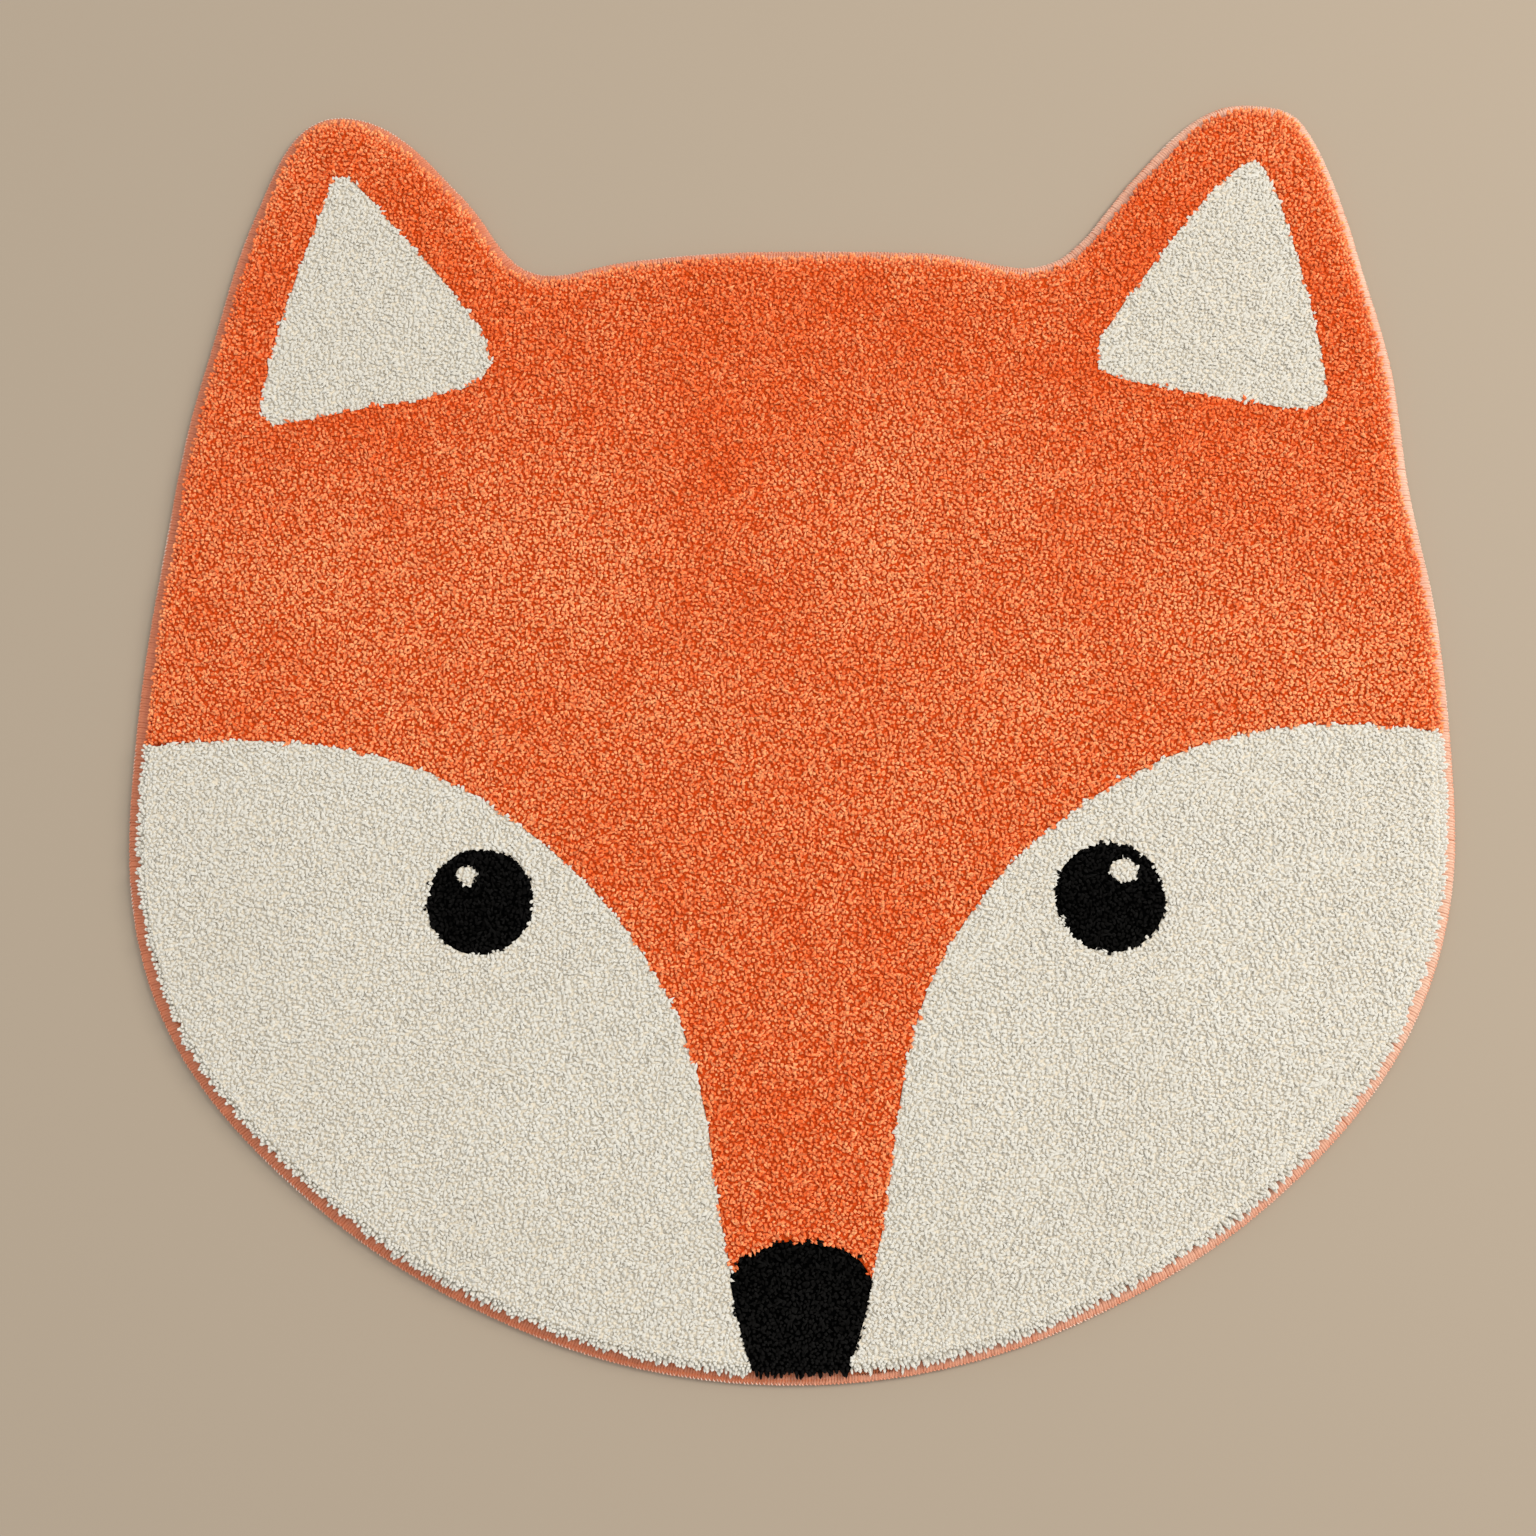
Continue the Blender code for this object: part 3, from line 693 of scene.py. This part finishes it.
def make_pile(outline, outward):
    """All the tufts and their beds, patch by patch. A large patch is shared out over three pieces, from the
    snout up."""
    edge = PILE_INSET + RIM_ZONE
    inner = tuft_places(TUFT_PITCH, outline[::4])
    inner = chosen(inner, inner.distance >= edge)
    outer = tuft_places(RIM_PITCH, outline, near=edge)
    outer = chosen(outer, (outer.distance < edge) & (outer.distance > PILE_INSET))
    row = row_places(outline, outward)
    yarns = {
        "yarn_orange": SimpleNamespace(
            tuft=yarn_material("orange_yarn", ORANGE, streaks=0.30),
            bed=bed_material("orange_bed", ORANGE),
            lift=1.1,
        ),
        "yarn_white": SimpleNamespace(
            tuft=yarn_material("white_yarn", WHITE, streaks=0.03),
            bed=bed_material("white_bed", WHITE),
            lift=1.8,
        ),
        "yarn_black": SimpleNamespace(
            tuft=yarn_material("black_yarn", BLACK, streaks=0.06, sheen=0.0, specular=0.03),
            bed=bed_material("black_bed", BLACK),
            lift=1.5,
        ),
    }
    slots = {s["node"]: s["material_slot"] for s in frame["record"]["subparts"]}
    pieces = []
    for patch, node in enumerate(sorted(n for n in frame["nodes"] if n.startswith("pile_"))):
        slot = slots[node]
        yarn = yarns[slot]
        edges = foot_edges(node)
        within = inside(inner.owner, edges)
        shares = {"": within}
        if within.sum() > MOST_TUFTS:
            y = inner.flat[:, 1]
            low, high = np.quantile(y[within], (1 / 3, 2 / 3))
            shares = {
                "_snout": within & (y < low),
                "_brow": within & (y >= low) & (y < high),
                "_crown": within & (y >= high),
            }
        name = node.replace("pile", "tufts")
        made = [make_bed(node, outline[::4], outward[::4], yarn.bed)]
        for number, (place, rows) in enumerate(shares.items()):
            some = chosen(inner, rows)
            seed = 10 * patch + number
            made.append(make_tufts(name + place, some, standing_tufts, yarn.tuft, seed, yarn.lift))
        by_rim = inside(outer.owner, edges)
        if by_rim.any():
            rim = chosen(outer, by_rim)
            low = chosen(row, inside(row.owner, edges))
            lift = yarn.lift * RIM_LIFT
            made.append(make_tufts(name + "_rim", rim, fanned_tufts, yarn.tuft, 10 * patch + 9, lift))
            made.append(make_tufts(name + "_foot", low, foot_tufts, yarn.tuft, 10 * patch + 8, lift))
        pieces += [belongs(piece, node) for piece in made]
    return pieces


# ---------------------------------------------------------------- backing and binding


def carried(outline, outward, section):
    """The points of a section (inset from the outline, height) carried round it, as (station, point, xyz)."""
    flat = outline[:, None] - outward[:, None] * section[None, :, :1]
    return np.concatenate([flat, np.broadcast_to(section[None, :, 1:], (*flat.shape[:2], 1))], axis=2)


def make_backing(outline, outward):
    """The backing cloth: a section carried round the outline, thin where the binding holds it, and closed
    above and below by rings that shrink onto the middle, where place = outline * (1 - share)."""
    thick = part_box("backing")[1].z
    section = np.array(
        [
            (HELD_WIDTH, 0.0),
            (HELD_WIDTH, HELD_THICKNESS),
            (BACKING_INSET, HELD_THICKNESS),
            (BACKING_INSET, thick),
            (HELD_WIDTH, thick),
        ]
    )
    wall = carried(outline, outward, section)
    shares = np.linspace(0, 1, 9)[1:-1]
    below = wall[:, :1] * (1 - shares[::-1, None] * [1, 1, 0])
    above = wall[:, -1:] * (1 - shares[:, None] * [1, 1, 0])
    rows = np.concatenate([below, wall, above], axis=1)
    around, across = rows.shape[:2]
    points = np.vstack([rows.reshape(-1, 3), [(0, 0, 0), (0, 0, thick)]])
    k = np.arange(around)
    k2 = (k + 1) % around
    bottom, top = len(points) - 2, len(points) - 1
    caps = np.concatenate(
        [
            np.stack([np.full(around, bottom), k2 * across, k * across], axis=1),
            np.stack([np.full(around, top), k * across + across - 1, k2 * across + across - 1], axis=1),
        ]
    )
    quads = ring_faces(around, across, closed=False)[:, ::-1]
    weave = cloth_material("backing_weave", BACKING)
    backing = new_piece("backing_cloth", points, [quads, caps], weave, smooth=False)
    return belongs(backing, "backing")


def make_binding(outline, outward):
    """The band under the stitches: a rounded C-shaped section carried round the outline, slim enough for the
    stitches to cover it."""
    slim = 0.0007
    top = BINDING_TOP - slim
    wide = BINDING_WIDTH
    section = np.array(
        [
            (wide, 0.0004),
            (0.0025, 0.0004),
            (0.0012, 0.0009),
            (slim + 0.0002, 0.0018),
            (slim + 0.0002, 0.0028),
            (0.0015, 0.0036),
            (0.0030, top - 0.0004),
            (0.0055, top),
            (0.0085, top - 0.0005),
            (wide, 0.0032),
            (wide, 0.0027),
            (0.0017, 0.0026),
            (0.0017, 0.0011),
            (wide, 0.0011),
        ]
    )
    rows = carried(outline, outward, section)
    around, across = rows.shape[:2]
    quads = ring_faces(around, across, closed=True)[:, ::-1]
    material = thread_material("binding_ground", BINDING.shade, BINDING.light, roughness=0.8, specular=0.2)
    band = new_piece("binding_band", rows.reshape(-1, 3), [quads], material)
    # Painted shade: the band takes the thread's colour in shade all round, as seen between the stitches.
    add_values(band, "tone", np.zeros(around * across))
    return belongs(band, "edge_binding")


def sewn_threads(name, outline, outward, pitch, path, radius, material, tone, seed):
    """One short thread to each pitch of the rim. Each follows the path, whose columns are the inset from the
    outline, the height, and how far along the rim it has come."""
    rng = np.random.default_rng(seed)
    length = distances(outline)[-1]
    count = round(length / pitch)
    start = np.arange(count)[:, None] * length / count + rng.normal(0, 0.08 * pitch, (count, 1))
    along = start + path[None, :, 2]
    inset = path[None, :, 0] + rng.normal(0, 0.0001, (count, 1))
    flat = at_distance(outline, along) - at_distance(outline, along, outward) * inset[..., None]
    height = np.broadcast_to(path[None, :, 1:2], (count, len(path), 1))
    radii = radius * rng.uniform(0.88, 1.12, (count, 1)) * np.ones((1, len(path) - 2))
    shares = np.linspace(0, 1, len(path))
    line = np.concatenate([flat, height], axis=2)
    twist = np.full(count, TAU / 8)
    piece, each = many_tubes(name, line, radii, twist, material, shares, lift=0.5)
    own = np.clip(tone(flat[:, 0]) + rng.normal(0, 0.06, count), 0, 1)
    add_values(piece, "tone", np.repeat(own, each))
    return belongs(piece, "edge_binding")


def make_stitches(outline, outward):
    """The stitches sewn over the binding, from under its outer edge over the top to the pile, slanting a
    little along the rim."""
    path = np.array(
        [
            (0.0040, 0.0014, 0.0),
            (0.0015, 0.0016, 0.0002),
            (0.0012, 0.0025, 0.0004),
            (0.0024, 0.0037, 0.0006),
            (0.0048, BINDING_TOP - 0.0010, 0.0008),
            (0.0085, BINDING_TOP - 0.0014, 0.0011),
            (0.0116, 0.0034, 0.0013),
        ]
    )
    material = thread_material("binding_thread", BINDING.shade, BINDING.light)

    # Painted light: the stitches are paler towards the right, where the light falls, and a little towards the
    # top, with a random unevenness along the rim.
    def tone(flat):
        side = flat / np.abs(flat).max(axis=0)
        return 0.22 + side @ [0.58, 0.12] + 0.12 * soft_noise(flat, 0.05, seed=41)

    return sewn_threads(
        "binding_stitches", outline, outward, STITCH_PITCH, path, STITCH_RADIUS, material, tone, SEED + 500
    )


def make_purls(outline, outward):
    """The paler loops along the outermost edge, where each stitch is caught."""
    path = np.array(
        [
            (0.0022, 0.0047, 0.0),
            (0.0007, 0.0038, 0.0007),
            (0.0001, 0.0026, 0.0013),
            (0.0008, 0.0011, 0.0019),
        ]
    )
    material = thread_material("binding_purl", PURL.shade, PURL.light)

    def tone(flat):
        return 0.1 + 0.8 * soft_noise(flat, 0.035, seed=43)

    return sewn_threads(
        "binding_purls", outline, outward, PURL_PITCH, path, PURL_RADIUS, material, tone, SEED + 600
    )


# ---------------------------------------------------------------- the room


def make_camera():
    """The camera, tilted from straight down and rolled a little."""
    data = bpy.data.cameras.new("camera")
    data.lens = LENS
    data.sensor_width = SENSOR
    camera = bpy.data.objects.new("camera", data)
    bpy.context.scene.collection.objects.link(camera)
    turn = Matrix.Rotation(CAMERA_TILT, 4, "X") @ Matrix.Rotation(CAMERA_ROLL, 4, "Z")
    camera.matrix_world = Matrix.Translation(CAMERA_PLACE) @ turn
    bpy.context.scene.camera = camera


def make_light(name, place, size, power, colour):
    """A square soft light that faces the rug."""
    data = bpy.data.lights.new(name, "AREA")
    data.size = size
    data.energy = power
    data.color = colour
    light = bpy.data.objects.new(name, data)
    bpy.context.scene.collection.objects.link(light)
    light.location = place
    light.rotation_euler = (-light.location).to_track_quat("-Z", "Y").to_euler()


def make_room():
    """A plain pale floor, soft light from the right and a pale surround."""
    side = 60.0
    corners = np.array([(-1, -1, 0), (1, -1, 0), (1, 1, 0), (-1, 1, 0)]) * side / 2
    material, _, shader = new_material("floor", roughness=0.7)
    shader.inputs["Base Color"].default_value = (0.365, 0.292, 0.215, 1.0)
    floor = new_piece("floor", corners, [np.array([[0, 1, 2, 3]])], material)
    make_light("window", place=(4.2, 1.7, 3.7), size=2.8, power=285.0, colour=(1.0, 0.965, 0.91))
    make_light("overhead", place=(-0.4, 0.2, 3.0), size=3.0, power=16.0, colour=(0.98, 0.99, 1.0))
    world = bpy.data.worlds.new("surround")
    world.use_nodes = True
    surround = world.node_tree.nodes["Background"]
    surround.inputs["Color"].default_value = (0.95, 0.975, 1.0, 1.0)
    surround.inputs["Strength"].default_value = 0.77
    bpy.context.scene.world = world
    bpy.context.scene.view_settings.view_transform = "Standard"


make_camera()
make_room()
outline = rug_outline(2800)
outward = outward_of(outline)
pieces = make_pile(outline, outward)
pieces.append(make_binding(outline[::4], outward[::4]))
pieces.append(make_stitches(outline, outward))
pieces.append(make_purls(outline, outward))
backing = make_backing(outline[::8], outward[::8])
